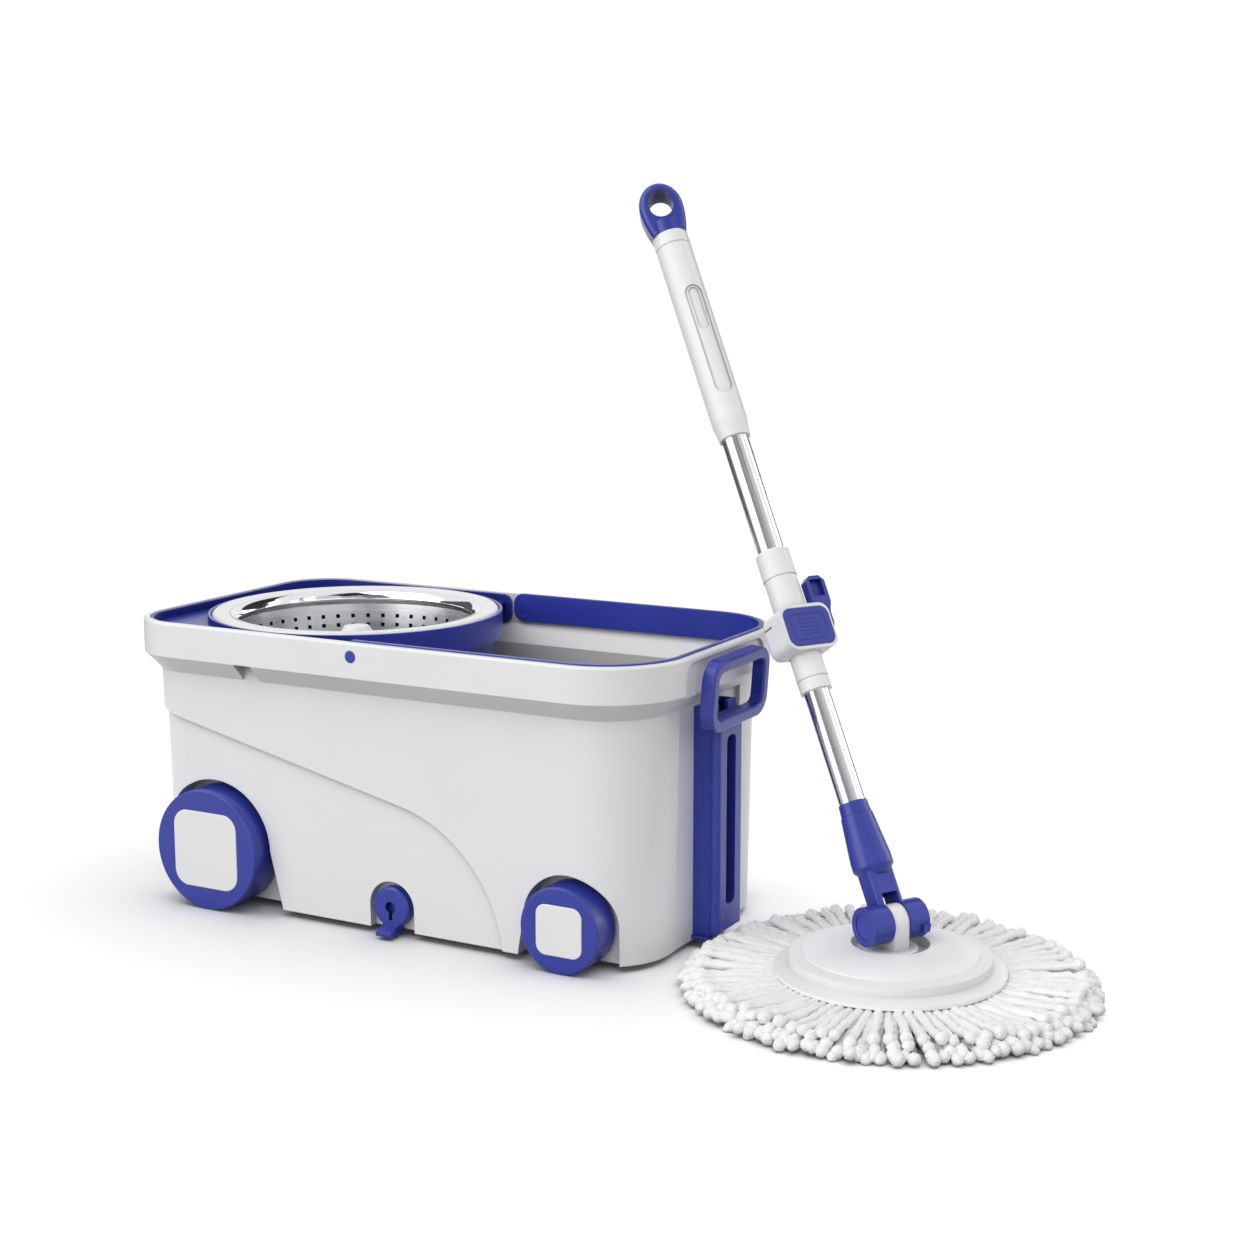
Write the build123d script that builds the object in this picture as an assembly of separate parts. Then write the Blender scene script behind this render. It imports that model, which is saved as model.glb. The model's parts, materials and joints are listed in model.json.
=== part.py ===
from build123d import *
import math
import os

# A spin mop set: a wheeled bucket with a spin basket, and a mop with a telescopic pole.
# Millimetres. The origin is on the floor under the middle of the bucket. +X points to the
# pull handle, +Y to the rear and +Z up.

# Bucket shell
bucket_length = 470.0
bucket_width = 256.0
rim_height = 228.0
rim_band = 27.0
rim_wall = 5.0
rim_round = 2.0
rim_slope_in = 13.0
rim_slope_drop = 14.0
ledge_rise = 2.0
basket_end_corner = 48.0
handle_end_corner = 66.0
base_height = 5.0
base_taper = 3.0
wall = 2.6
floor_wall = 3.0

# The set-back lower panel and the wave line above it
panel_step = 3.0
wave_drop = 25.0
wave_slope = 0.22
wave_crest = (20.0, 104.0)
wave_foot_x = 108.0

# Gap in the slope under the rim, on both long sides
notch_x = -114.0
notch_width = 16.0
notch_roof = 1.5

# Wheels: axle place from the bucket's end, radius, width, cap side, and the arch's gap, rise
# above the axle and spread of its inner side at the floor
large_wheel = {"from_end": 77.0, "radius": 48.5, "width": 30.0, "cap": 61.5}
large_wheel |= {"gap": 3.5, "rise": 2.0, "spread": 12.0}
small_wheel = {"from_end": 72.0, "radius": 32.5, "width": 26.0, "cap": 38.0}
small_wheel |= {"gap": 4.5, "rise": 1.5, "spread": -6.0}
wheel_inset = 3.5
arch_gap = 3.0
cap_depth = 4.0
cap_proud = 0.6
cap_corner_share = 0.21
axle_radius = 4.0
axle_head_radius = 8.0
axle_head = 3.0
axle_boss = 14.0
axle_boss_radius = 9.0
axle_collar_radius = 6.4
tread_edge = 1.5
dish_depth = 8.0
dish_wall = 6.0

# Drain
plug_x = 8.0
plug_z = 23.0
plug_radius = 16.0
plug_disc = 8.0
plug_stem_radius = 10.8
plug_stem = 9.0
plug_edge = 1.5
plug_tab_width = 14.0
plug_tab_lip = 3.0
plug_tab_reach = 10.0
plug_tab_drop = 4.0
plug_dimple_radius = 4.5
plug_key_width = 3.0
plug_key_drop = 10.0
seal_thickness = 1.5
niche_width = 40.0
niche_depth = 26.0

# Carry handle, a band that lies inside the rim
bail_from_basket = 85.7
bail_drop = 10.5
bail_end = 9.5
bail_thickness = 3.5
bail_height = 23.0
bail_end_round = 9.0
pin_radius = 4.5
pin_head_radius = 7.0
pin_head = 1.6
pin_proud = 0.4

# Pull handle and its guide rail on the end wall
channel_width = 100.0
channel_depth = 3.5
channel_rise = 1.0
pocket_width = 130.0
pocket_drop = 4.0
pocket_height = 54.0
pocket_corner = 12.0
pocket_depth = 2.5
rail_width = 42.0
rail_lip = 2.6
rail_slot = 15.0
rail_drop = 44.0
rail_bottom = 7.0
rail_foot = 3.0
slide_width = 42.0
slide_thickness = 6.5
slide_edge = 4.5
slide_bottom = 12.0
slide_slot_width = 15.0
slide_slot_corner = 5.0
slide_slot_low = 31.0
slide_slot_drop = 9.0
shoe_height = 16.0
shoe_thickness = 4.0
loop_width = 95.0
loop_height = 53.5
loop_depth = 10.5
loop_bar = 9.0
loop_drop = 5.0
loop_corner = 16.0
loop_edge = 2.0
loop_lean = 4.0
screw_boss_radius = 5.0
screw_radius = 2.0
screw_head_radius = 4.0
screw_head = 2.0
screw_length = 9.0
rail_screw_margin = 38.0

# Basket carrier, the tray that fills the rim round the basket
basket_end_gap = 19.3
basket_side_gap = 10.0
carrier_wall = 2.6
carrier_from_bail = 13.0
carrier_corner = 8.0
carrier_drop = 1.0
collar_height = 22.0
collar_ledge = 8.0
skirt_height = 22.0
deck_drop = 7.0

# Spin basket
ring_gap = 0.8
ring_width = 14.0
ring_height = 13.0
ring_edge = 1.5
ring_skirt = 4.0
drum_gap = 1.6
drum_taper = 11.0
drum_drop = 6.0
drum_height = 74.0
drum_lip = 7.0
drum_lip_round = 2.5
drum_floor_edge = 16.0
drum_pan_height = 3.0
steel = 1.0
hole_side = 3.2
hole_columns = 48
hole_rows = 3
hole_pitch = 7.5
hole_first_drop = 17.0
base_thickness = 4.0
base_boss = 6.0
hub_foot_radius = 19.0
hub_foot_rise = 8.0
hub_top_radius = 13.0
hub_top_round = 3.0
hub_shoulder = 6.0
hub_drop = 13.0
spindle_radius = 5.0
bush_wall = 2.5
bush_length = 40.0
post_foot_radius = 26.0
post_foot = 6.0
post_top_radius = 15.0
washer_thickness = 2.0
spindle_grip = 30.0
spindle_end = 4.0

# Mop head
mop_x = 382.6
mop_y = -37.5
brim_radius = 82.0
brim_z = 15.8
brim_edge = 2.4
brim_rise = 3.6
brim_width = 9.9
step_width = 9.2
step_drop = 1.8
dome_step = 1.0
dome_swell = 1.6
plate_wall = 2.6
pit_radius = 27.8
pit_floor = 27.2
pit_depth = 7.0
hub_radius = 19.5
hub_height = 4.6
hub_edge = 1.0
hub_screw_angles = (0, 120, 240)
hub_screw_circle = 14.5
knuckle_width = 12.8
knuckle_radius = 12.8
pivot_z = 49.0
strand_count = 78
strand_root_inset = 6.0
strand_length = 69.0
strand_swell_at = 18.0
# At root, swell, neck, knob and tip of a strand: its width, and for each layer from the top the
# height of its middle, its depth, and how far neck, knob and tip stay back from the reach
strand_widths = (5.2, 6.2, 6.6, 8.0, 5.6)
strand_heights = [(10.9, 11.7, 11.6, 11.0, 10.4), (6.9, 7.0, 6.9, 6.4, 5.8), (3.0, 2.4, 2.3, 2.7, 2.6)]
strand_depths = [(4.0, 4.6, 4.6, 5.0, 3.6), (3.8, 4.4, 4.2, 5.0, 3.6), (3.8, 4.4, 4.6, 5.4, 3.8)]
strand_backs = [(26.0, 15.0, 11.0), (22.0, 9.0, 5.0), (19.0, 4.0, 0.0)]
backing_width = 18.0
backing_inset = 2.0
backing_floor = 1.5

# Mop pole: how far it leans from upright, and the compass heading that it leans to
pole_lean = 32.0
pole_heading = 149.4
lower_tube_radius = 9.7
lower_tube_wall = 0.8
upper_tube_wall = 0.6
lower_tube_drop = 105.3
socket_seat = 45.0
socket_flare = 34.0
socket_low = 40.2
socket_high = 47.4
socket_step = 79.3
socket_top = 88.6
socket_radius = 15.0
socket_shoulder = 1.2
shank_width = 21.7
shank_depth = 17.0
shank_corner = 3.0
barrel_radius = 14.0
barrel_end = 23.7
barrel_floor = 3.0
fork_throat = 8.5
lug_width = 6.0
lug_rise = 2.4
lug_turn = -45.0
hinge_pin_radius = 4.0
barrel_cap_radius = 10.8
barrel_cap_depth = 2.4
barrel_cap_rim = 1.5
barrel_cap_dip = 0.6
guide_bottom = 175.0
guide_radius = 11.8
guide_seat = 6.0
guide_groove = 9.0
block_bottom = 203.0
block_top = 238.0
block_width = 43.2
block_front = 16.1
block_back = 15.4
block_corner = 8.0
slit_length = 10.0
slit_width = 1.4
slit_depth = 1.2
slit_rise = 24.0
slit_forward = -4.0
sleeve_radius = 12.4
sleeve_top = 264.7
collar_ring_radius = 13.0
collar_ring_top = 286.3
collar_edge = 1.2
pad_width = 40.2
pad_height = 29.8
pad_corner = 7.0
pad_thickness = 2.2
pad_proud = 0.6
pad_edge = 0.5
lever_width = 16.5
lever_hub = 6.7
lever_thickness = 7.4
lever_top = 261.6
lever_corner = 4.0
lever_shoulder = 16.0
lever_waist = 8.0
lever_dish_rim = 3.0
lever_dish_height = 13.0
lever_x = -21.1
lever_y = 6.2
lever_z = 224.5
lever_pin_radius = 2.0
lever_pin_back = 5.0
lever_pin_front = 2.0
grip_top = 558.3
grip_length = 177.3
grip_foot_wall = 1.4
grip_radius = 13.9
grip_taper = 14.4
grip_line = 10.7
grip_line_depth = 0.5
grip_inset_length = 93.0
grip_inset_width = 13.5
grip_inset_depth = 1.0
grip_inset_drop = 50.0
grip_tongue_length = 36.0
grip_tongue_width = 8.0
grip_tongue_drop = 2.0
grip_tongue_depth = 0.8
grip_turn = -15.0
cap_height = 44.5
cap_width = 34.4
cap_thickness = 22.6
cap_edge = 5.0
cap_neck = 11.0
cap_neck_radius = 13.4
cap_wide_share = 0.52
cap_hole_width = 18.5
cap_hole_height = 24.0
cap_hole_rise = 25.5
cap_turn = -30.0
spigot_length = 20.0
drive_rod_radius = 4.0
drive_rod_bottom = 242.0
drive_rod_seat = 6.0
drive_nut_length = 16.0
drive_nut_flange = 3.0

# Clearances
running = 0.05
sliding = 0.3
seat = 0.15

# Derived places
band_bottom = rim_height - rim_band
slope_bottom = band_bottom - rim_slope_drop
ledge_top = band_bottom + ledge_rise
floor_top = base_height + floor_wall
end_face = bucket_length / 2
side_face = bucket_width / 2
wheel_face = side_face - wheel_inset
niche_back = side_face - niche_depth
large_wheel["x"] = large_wheel["from_end"] - end_face
small_wheel["x"] = end_face - small_wheel["from_end"]
collar_radius = side_face - basket_side_gap
skirt_radius = collar_radius - collar_ledge
collar_bottom = rim_height - collar_height
skirt_bottom = collar_bottom - skirt_height
basket_x = basket_end_gap + collar_radius - end_face
bail_pivot_x = basket_x + bail_from_basket
bail_pivot_z = rim_height - bail_drop
carrier_end_x = bail_pivot_x - carrier_from_bail
carrier_top = rim_height - carrier_drop
deck_top = rim_height - deck_drop
ring_radius = collar_radius - carrier_wall - ring_gap
drum_top_radius = ring_radius - ring_width - drum_gap
drum_foot_radius = drum_top_radius - drum_taper
drum_top = rim_height - drum_drop
drum_bottom = drum_top - drum_height
drum_seam = drum_bottom + drum_pan_height
base_low = drum_bottom - steel - base_thickness
basket_foot = base_low - base_boss
hub_top = rim_height - hub_drop
channel_floor = end_face - rim_slope_in - channel_depth
channel_top = slope_bottom + channel_rise
pocket_high = rim_height - pocket_drop
rail_front = end_face - pocket_depth + sliding
rail_top = rim_height - rail_drop
rail_screw_heights = (rail_bottom + rail_screw_margin, rail_top - rail_screw_margin)
loop_low = rim_height - loop_drop - loop_height
wave_end_z = slope_bottom - wave_drop
step_radius = brim_radius - brim_width
dome_radius = step_radius - step_width
strand_root = brim_radius - strand_root_inset
strand_reach = brim_radius + strand_length
backing_inner = brim_radius - backing_width
grip_bottom = grip_top - grip_length
lower_tube_top = grip_top - lower_tube_drop
upper_tube_inner = lower_tube_radius + sliding
upper_tube_radius = upper_tube_inner + upper_tube_wall
far = bucket_length
heading = math.radians(pole_heading)
lean = math.radians(pole_lean)
pole_direction = (
    math.sin(lean) * math.cos(heading),
    math.sin(lean) * math.sin(heading),
    math.cos(lean),
)
hinge_direction = (-math.sin(heading), math.cos(heading), 0.0)
pole_frame = Plane((mop_x, mop_y, pivot_z), x_dir=hinge_direction, z_dir=pole_direction)
head_frame = Plane((mop_x, mop_y, 0), x_dir=hinge_direction, z_dir=(0, 0, 1))


def rod(radius, low, high):
    return Pos(0, 0, (low + high) / 2) * Cylinder(radius, high - low)


def tube(outer, inner, low, high):
    return rod(outer, low, high) - rod(inner, low - 1, high + 1)


def block(x_span, y_span, z_span):
    size = [high - low for low, high in (x_span, y_span, z_span)]
    middle = [(high + low) / 2 for low, high in (x_span, y_span, z_span)]
    return Pos(*middle) * Box(*size)


def lathe(points):
    # A turned piece from its half section, as radius and height
    return revolve(Plane.XZ * make_face(Polyline(*points, close=True)), Axis.Z)


def cross_rod(radius, x, z, low, high):
    # A cylinder along Y
    return Pos(x, (low + high) / 2, z) * Rot(90, 0, 0) * Cylinder(radius, high - low)


def side_rod(radius, y, z, low, high):
    # A cylinder along X
    return Pos((low + high) / 2, y, z) * Rot(0, 90, 0) * Cylinder(radius, high - low)


def to_rear(part):
    return mirror(part, about=Plane.XZ)


def plan(inset, z):
    # The bucket's outline seen from above, drawn in all round by inset
    outline = Rectangle(bucket_length - 2 * inset, bucket_width - 2 * inset)
    outline = fillet(outline.vertices().sort_by(Axis.X)[:2], basket_end_corner - inset)
    outline = fillet(outline.vertices().sort_by(Axis.X)[-2:], handle_end_corner - inset)
    return Pos(0, 0, z) * outline


def drafted(inset, low, high):
    return loft([plan(inset + base_taper, low), plan(inset, high)])


def above_wave():
    # Everything above the wave line: a long slope that ends in a tangent arc to the floor
    slope = Line((-far, wave_end_z + (far - end_face) * wave_slope), wave_crest)
    drop = TangentArc(slope @ 1, (wave_foot_x, 0), tangent=slope % 1)
    frame = Polyline(drop @ 1, (far, 0), (far, far), (-far, far), slope @ 0)
    return extrude(Plane.XZ * make_face([slope, drop, frame]), bucket_width, both=True)


def front_arch(x, z, radius, back, spread=0.0):
    # A round-topped recess in the front wall, whose sides reach the floor. One may spread outwards.
    left, right = min(spread, 0), max(spread, 0)
    foot = [(x + radius + right, 0), (x - radius + left, 0)]
    sides = make_face(Polyline((x - radius, z), (x + radius, z), *foot, close=True))
    shape = Pos(x, z) * Circle(radius) + sides
    return Pos(0, -back, 0) * extrude(Plane.XZ * shape, side_face)


def wheel_arch(wheel, grow):
    back = wheel_face - wheel["width"] - arch_gap - grow
    radius = wheel["radius"] + wheel["gap"] + grow
    return front_arch(wheel["x"], wheel["radius"] + wheel["rise"], radius, back, wheel["spread"])


def wheel_boss(wheel):
    back = wheel_face - wheel["width"] - arch_gap
    boss = cross_rod(axle_boss_radius, wheel["x"], wheel["radius"], -back, axle_boss - back)
    hole = cross_rod(axle_radius, wheel["x"], wheel["radius"], -back - 1, axle_boss - back - wall)
    return boss, hole


def drain_niche(grow):
    return front_arch(plug_x, plug_z, niche_width / 2 + grow, niche_back - grow)


def end_channel(grow):
    width = channel_width + 2 * grow
    low = base_height - 1 if grow == 0 else 0
    return block((channel_floor - grow, far), (-width / 2, width / 2), (low, channel_top + grow))


def slope_notch(grow):
    y = bucket_width / 2 - rim_slope_in - grow
    half = notch_width / 2 + grow
    span = (notch_x - half, notch_x + half)
    top = band_bottom + (notch_roof if grow else 0)
    return block(span, (-bucket_width, -y), (slope_bottom - grow, top))


def make_bucket_shell():
    outer = extrude(plan(0, band_bottom), rim_band)
    outer = fillet(outer.edges().group_by(Axis.Z)[-1], rim_round)
    outer += loft([plan(rim_slope_in, slope_bottom), plan(0, band_bottom)])
    outer += drafted(rim_slope_in + panel_step, base_height, slope_bottom)
    outer += drafted(rim_slope_in, base_height, slope_bottom) & above_wave()

    inside_top = slope_bottom + wall / 2
    cavity = extrude(plan(rim_wall, ledge_top), rim_height - ledge_top + 1)
    cavity += loft([plan(rim_slope_in + wall, inside_top), plan(rim_wall, ledge_top)])
    cavity += drafted(rim_slope_in + panel_step + wall, floor_top, inside_top)
    upper_inside = drafted(rim_slope_in + wall, floor_top, inside_top)
    cavity += upper_inside & (Pos(wall, 0, wall) * above_wave())
    for grown in (wheel_arch(large_wheel, wall), wheel_arch(small_wheel, wall), slope_notch(wall)):
        cavity -= grown
        cavity -= to_rear(grown)
    cavity -= drain_niche(wall)
    cavity -= end_channel(wall)
    cavity -= Pos(basket_x, 0, 0) * rod(post_foot_radius + wall, 0, floor_top + post_foot)

    shell = outer - cavity
    for cut in (wheel_arch(large_wheel, 0), wheel_arch(small_wheel, 0), slope_notch(0)):
        shell -= cut
        shell -= to_rear(cut)
    shell -= drain_niche(0)
    shell -= end_channel(0)
    pocket_z = pocket_high - pocket_height / 2
    pocket = RectangleRounded(pocket_width, pocket_height, pocket_corner)
    shell -= Pos(end_face - pocket_depth, 0, 0) * extrude(Plane.YZ * Pos(0, pocket_z) * pocket, far)
    shell -= Pos(basket_x, 0, 0) * rod(post_foot_radius, floor_top, rim_height)

    for wheel in (large_wheel, small_wheel):
        boss, hole = wheel_boss(wheel)
        shell += boss
        shell += to_rear(boss)
        shell -= hole
        shell -= to_rear(hole)
    for z in rail_screw_heights:
        shell += side_rod(screw_boss_radius, 0, z, channel_floor - wall - screw_length, channel_floor - 1)
        shell -= side_rod(screw_radius, 0, z, channel_floor - screw_length, far)
    shell -= cross_rod(plug_stem_radius + seat, plug_x, plug_z, -niche_back - 1, wall + 1 - niche_back)
    shell -= cross_rod(pin_radius + running, bail_pivot_x, bail_pivot_z, -bucket_width, bucket_width)
    return shell


def make_basket_carrier():
    low = ledge_top - sliding
    inner = collar_radius - carrier_wall
    skirt_inner = skirt_radius - carrier_wall
    carrier = lathe([
        (collar_radius, carrier_top),
        (collar_radius, collar_bottom),
        (skirt_radius, collar_bottom),
        (skirt_radius, skirt_bottom),
        (skirt_inner, skirt_bottom),
        (skirt_inner, collar_bottom + carrier_wall),
        (inner, collar_bottom + carrier_wall),
        (inner, carrier_top),
    ])
    carrier = Pos(basket_x, 0, 0) * carrier
    edge = rim_wall + sliding
    band = extrude(plan(edge, low) - plan(edge + carrier_wall, low), carrier_top - low)
    ends = RectangleRounded(far, carrier_top - low, carrier_corner)
    middle = Pos(carrier_end_x - far / 2, (carrier_top + low) / 2)
    band &= extrude(Plane.XZ * middle * ends, bucket_width, both=True)
    deck = extrude(plan(edge, deck_top - carrier_wall), carrier_wall)
    deck &= block((-far, carrier_end_x - 2 * carrier_wall), (-far, far), (0, far))
    opening = Pos(basket_x, 0, 0) * rod(collar_radius - carrier_wall / 2, 0, far)
    return carrier + (band + deck - opening)


def make_guide_rail():
    front = rail_front - sliding
    half = rail_width / 2
    rail = block((channel_floor, front), (-half, half), (rail_bottom, rail_top))
    hollow = block(
        (channel_floor + rail_lip, front - rail_lip),
        (rail_lip - half, half - rail_lip),
        (rail_bottom + rail_lip, rail_top + 1),
    )
    rail -= hollow
    slot = (-rail_slot / 2, rail_slot / 2)
    rail -= block((channel_floor + rail_lip, far), slot, (rail_bottom + rail_lip, far))
    foot_half = half + rail_foot
    rail += block((channel_floor, front), (-foot_half, foot_half), (rail_bottom, rail_bottom + rail_lip))
    for z in rail_screw_heights:
        rail -= side_rod(screw_radius, 0, z, channel_floor - 1, channel_floor + rail_lip + 1)
    return rail


def make_rail_screws():
    screws = Part()
    for z in rail_screw_heights:
        seat_x = channel_floor + rail_lip
        shank = side_rod(screw_radius, 0, z, channel_floor - screw_length, seat_x)
        screws += shank + side_rod(screw_head_radius, 0, z, seat_x, seat_x + screw_head)
    return screws


def make_pull_handle():
    front = rail_front + slide_thickness
    half = slide_width / 2
    handle = block((rail_front, front), (-half, half), (slide_bottom, loop_low + loop_bar))
    handle = fillet(handle.edges().filter_by(Axis.Z).group_by(Axis.X)[-1], slide_edge)
    slot_height = loop_low - slide_slot_drop - slide_slot_low
    slot = RectangleRounded(slide_slot_width, slot_height, slide_slot_corner)
    handle -= extrude(Plane.YZ * Pos(0, slide_slot_low + slot_height / 2) * slot, far)

    loop = RectangleRounded(loop_width, loop_height, loop_corner)
    loop -= RectangleRounded(loop_width - 2 * loop_bar, loop_height - 2 * loop_bar, loop_corner - loop_bar)
    loop = extrude(Plane.YZ * Pos(0, loop_height / 2) * loop, loop_depth)
    loop = fillet(loop.edges().group_by(Axis.X)[-1], loop_edge)
    handle += Pos(end_face + sliding, 0, loop_low) * Rot(0, loop_lean, 0) * loop

    neck = rail_slot / 2 - sliding
    shoe_top = slide_bottom + shoe_height
    back = rail_front - 2 * sliding - rail_lip
    handle += block((back - shoe_thickness, rail_front), (-neck, neck), (slide_bottom, shoe_top))
    shoe_half = rail_width / 2 - rail_lip - sliding
    handle += block((back - shoe_thickness, back), (-shoe_half, shoe_half), (slide_bottom, shoe_top))
    return handle


def make_carry_handle():
    edge = rim_wall + sliding
    low = bail_pivot_z - bail_height / 2
    band = extrude(plan(edge, low) - plan(edge + bail_thickness, low), bail_height)
    ends = RectangleRounded(far, bail_height, bail_end_round)
    middle = Pos(bail_pivot_x - bail_end + far / 2, bail_pivot_z)
    band &= extrude(Plane.XZ * middle * ends, bucket_width, both=True)
    seat_y = side_face - edge - bail_thickness + pin_head
    band -= cross_rod(pin_head_radius, bail_pivot_x, bail_pivot_z, -seat_y, seat_y)
    return band - cross_rod(pin_radius, bail_pivot_x, bail_pivot_z, -bucket_width, bucket_width)


def make_handle_pins():
    # The heads lie flush in the inner face of the handle
    inner = side_face - rim_wall - sliding - bail_thickness
    pin = cross_rod(pin_radius, bail_pivot_x, bail_pivot_z, -side_face - pin_proud, -inner)
    pin += cross_rod(pin_head_radius, bail_pivot_x, bail_pivot_z, -inner - pin_head, -inner)
    return pin + to_rear(pin)


def make_wheel(wheel):
    face = wheel_face
    x, radius = wheel["x"], wheel["radius"]
    body = cross_rod(radius, x, radius, -face, wheel["width"] - face)
    body = fillet(body.edges().filter_by(GeomType.CIRCLE), tread_edge)
    side = wheel["cap"] + 2 * seat
    pocket = RectangleRounded(side, side, cap_corner_share * side)
    pocket = extrude(Plane.XZ * Pos(x, radius) * pocket, cap_depth + 1)
    body -= Pos(0, cap_depth - face, 0) * pocket
    body -= cross_rod(axle_radius + running, x, radius, -far, far)
    body -= cross_rod(axle_head_radius + sliding, x, radius, -face, cap_depth + axle_head + sliding - face)
    # The back is dished between the hub and the tread
    dish = cross_rod(radius - dish_wall, x, radius, wheel["width"] - dish_depth - face, far)
    return body - (dish - cross_rod(axle_boss_radius, x, radius, -far, far))


def make_wheel_cap(wheel):
    side = wheel["cap"]
    cap = RectangleRounded(side, side, cap_corner_share * side)
    cap = extrude(Plane.XZ * Pos(wheel["x"], wheel["radius"]) * cap, cap_depth + cap_proud)
    cap = fillet(cap.edges().group_by(Axis.Y)[0], cap_proud)
    return Pos(0, cap_depth - wheel_face, 0) * cap


def make_axles(wheel):
    x, z = wheel["x"], wheel["radius"]
    inner = axle_boss - wall - (wheel_face - wheel["width"] - arch_gap)
    seat_y = cap_depth + axle_head + sliding - wheel_face
    pin = cross_rod(axle_radius, x, z, seat_y - sliding, inner)
    pin += cross_rod(axle_head_radius, x, z, seat_y - sliding - axle_head, seat_y - sliding)
    collar = wheel["width"] - wheel_face + running
    pin += cross_rod(axle_collar_radius, x, z, collar, arch_gap + wheel["width"] - wheel_face)
    return pin + to_rear(pin)


def make_drain_plug():
    back = -niche_back - seal_thickness
    plug = cross_rod(plug_radius, plug_x, plug_z, back - plug_disc, back)
    plug = chamfer(plug.edges().filter_by(GeomType.CIRCLE).group_by(Axis.Y)[0], plug_edge)
    plug += cross_rod(plug_stem_radius, plug_x, plug_z, back, back + plug_stem)
    # A keyhole for the finger: a round dimple with a short slot under it
    depth = back - plug_disc / 2
    plug -= cross_rod(plug_dimple_radius, plug_x, plug_z, -far, depth)
    half = plug_key_width / 2
    plug -= block((plug_x - half, plug_x + half), (-far, depth), (plug_z - plug_key_drop, plug_z))
    half = plug_tab_width / 2
    low = plug_z - plug_radius - plug_tab_drop
    tab = Polyline(
        (back, plug_z - plug_radius + plug_tab_lip),
        (back - plug_disc, plug_z - plug_radius + plug_tab_lip),
        (back - plug_disc - plug_tab_reach, low + plug_tab_lip),
        (back - plug_disc - plug_tab_reach, low),
        (back - plug_edge, low),
        close=True,
    )
    return plug + Pos(plug_x - half, 0, 0) * extrude(Plane.YZ * make_face(tab), plug_tab_width)


def make_plug_seal():
    seal = cross_rod(plug_radius - plug_edge, plug_x, plug_z, -niche_back - seal_thickness, -niche_back)
    return seal - cross_rod(plug_stem_radius, plug_x, plug_z, -far, far)


def drum_body(grow):
    # The basket's drum as a solid, thicker all round by grow
    top = drum_top + grow
    profile = make_face(Polyline(
        (0, drum_bottom - grow),
        (drum_foot_radius + grow, drum_bottom - grow),
        (drum_top_radius + grow, drum_top - drum_lip),
        (drum_top_radius + grow, top),
        (0, top),
        close=True,
    ))
    foot = profile.vertices().sort_by(Axis.Y)[:2].sort_by(Axis.X)[-1]
    profile = fillet(foot, drum_lip_round + grow)
    return revolve(Plane.XZ * profile, Axis.Z)


def drum_sheet():
    # Wall, lip and floor of the drum in one, before it is cut at the seam
    drum = drum_body(steel) - drum_body(0) - rod(drum_top_radius, drum_top - 1, far)
    flange_low = drum_top - drum_lip
    flange = tube(ring_radius - ring_skirt, drum_top_radius, flange_low, flange_low + steel)
    return drum + flange - rod(drum_foot_radius - drum_floor_edge, 0, drum_bottom + 1)


def make_drum_pan():
    return Pos(basket_x, 0, 0) * (drum_sheet() & rod(collar_radius, 0, drum_seam))


def make_basket_drum():
    drum = drum_sheet() - rod(collar_radius, 0, drum_seam)
    slope = (drum_top_radius - drum_foot_radius) / (drum_top - drum_lip - drum_bottom)
    holes = []
    for row in range(hole_rows):
        z = drum_top - hole_first_drop - row * hole_pitch
        radius = drum_foot_radius + slope * (z - drum_bottom)
        for column in range(hole_columns):
            angle = 360 * column / hole_columns
            holes.append(Rot(0, 0, angle) * Pos(radius, 0, z) * Box(4 * steel, hole_side, hole_side))
    return Pos(basket_x, 0, 0) * (drum - holes)


def make_basket_ring():
    low = rim_height - ring_height
    inner = ring_radius - ring_width
    ring = lathe([
        (ring_radius, low),
        (ring_radius, rim_height - ring_edge),
        (ring_radius - ring_edge, rim_height),
        (inner, rim_height - carrier_drop),
        (inner, drum_top - drum_lip + steel),
        (ring_radius - ring_skirt, drum_top - drum_lip + steel),
        (ring_radius - ring_skirt, low),
    ])
    return Pos(basket_x, 0, 0) * ring


def make_basket_base():
    disc = drum_foot_radius - drum_lip_round - 2 * steel
    base = lathe([
        (0, basket_foot),
        (hub_foot_radius, basket_foot),
        (hub_foot_radius, base_low),
        (disc, base_low),
        (disc, drum_bottom - steel),
        (hub_foot_radius + 2 * steel, drum_bottom - steel),
        (hub_foot_radius, drum_bottom + hub_foot_rise),
        (hub_top_radius, hub_top - hub_shoulder),
        (hub_top_radius - hub_top_round, hub_top - hub_top_round / 2),
        (0, hub_top),
    ])
    base -= rod(spindle_radius + bush_wall, basket_foot - 1, basket_foot + bush_length)
    base -= rod(spindle_radius + running, basket_foot, basket_foot + bush_length + 2 * spindle_end)
    return Pos(basket_x, 0, 0) * base


def make_basket_bush():
    bush = tube(spindle_radius + bush_wall, spindle_radius + running, basket_foot, basket_foot + bush_length)
    return Pos(basket_x, 0, 0) * bush


def make_thrust_washer():
    washer = tube(post_top_radius, spindle_radius, basket_foot - washer_thickness, basket_foot)
    return Pos(basket_x, 0, 0) * washer


def make_basket_spindle():
    low = basket_foot - washer_thickness - spindle_grip
    return Pos(basket_x, 0, 0) * rod(spindle_radius, low, basket_foot + bush_length + spindle_end)


def make_basket_post():
    top = basket_foot - washer_thickness
    post = lathe([
        (0, floor_top),
        (post_foot_radius, floor_top),
        (post_foot_radius, floor_top + post_foot),
        (post_top_radius, top),
        (0, top),
    ])
    return Pos(basket_x, 0, 0) * (post - rod(spindle_radius, top - spindle_grip, far))


def dome(outer, inner, low, high):
    # A gently swelling line from the dome's foot up to the pit
    middle = ((outer + inner) / 2, (low + high) / 2 + dome_swell)
    return ThreePointArc((outer, low), middle, (inner, high))


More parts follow.
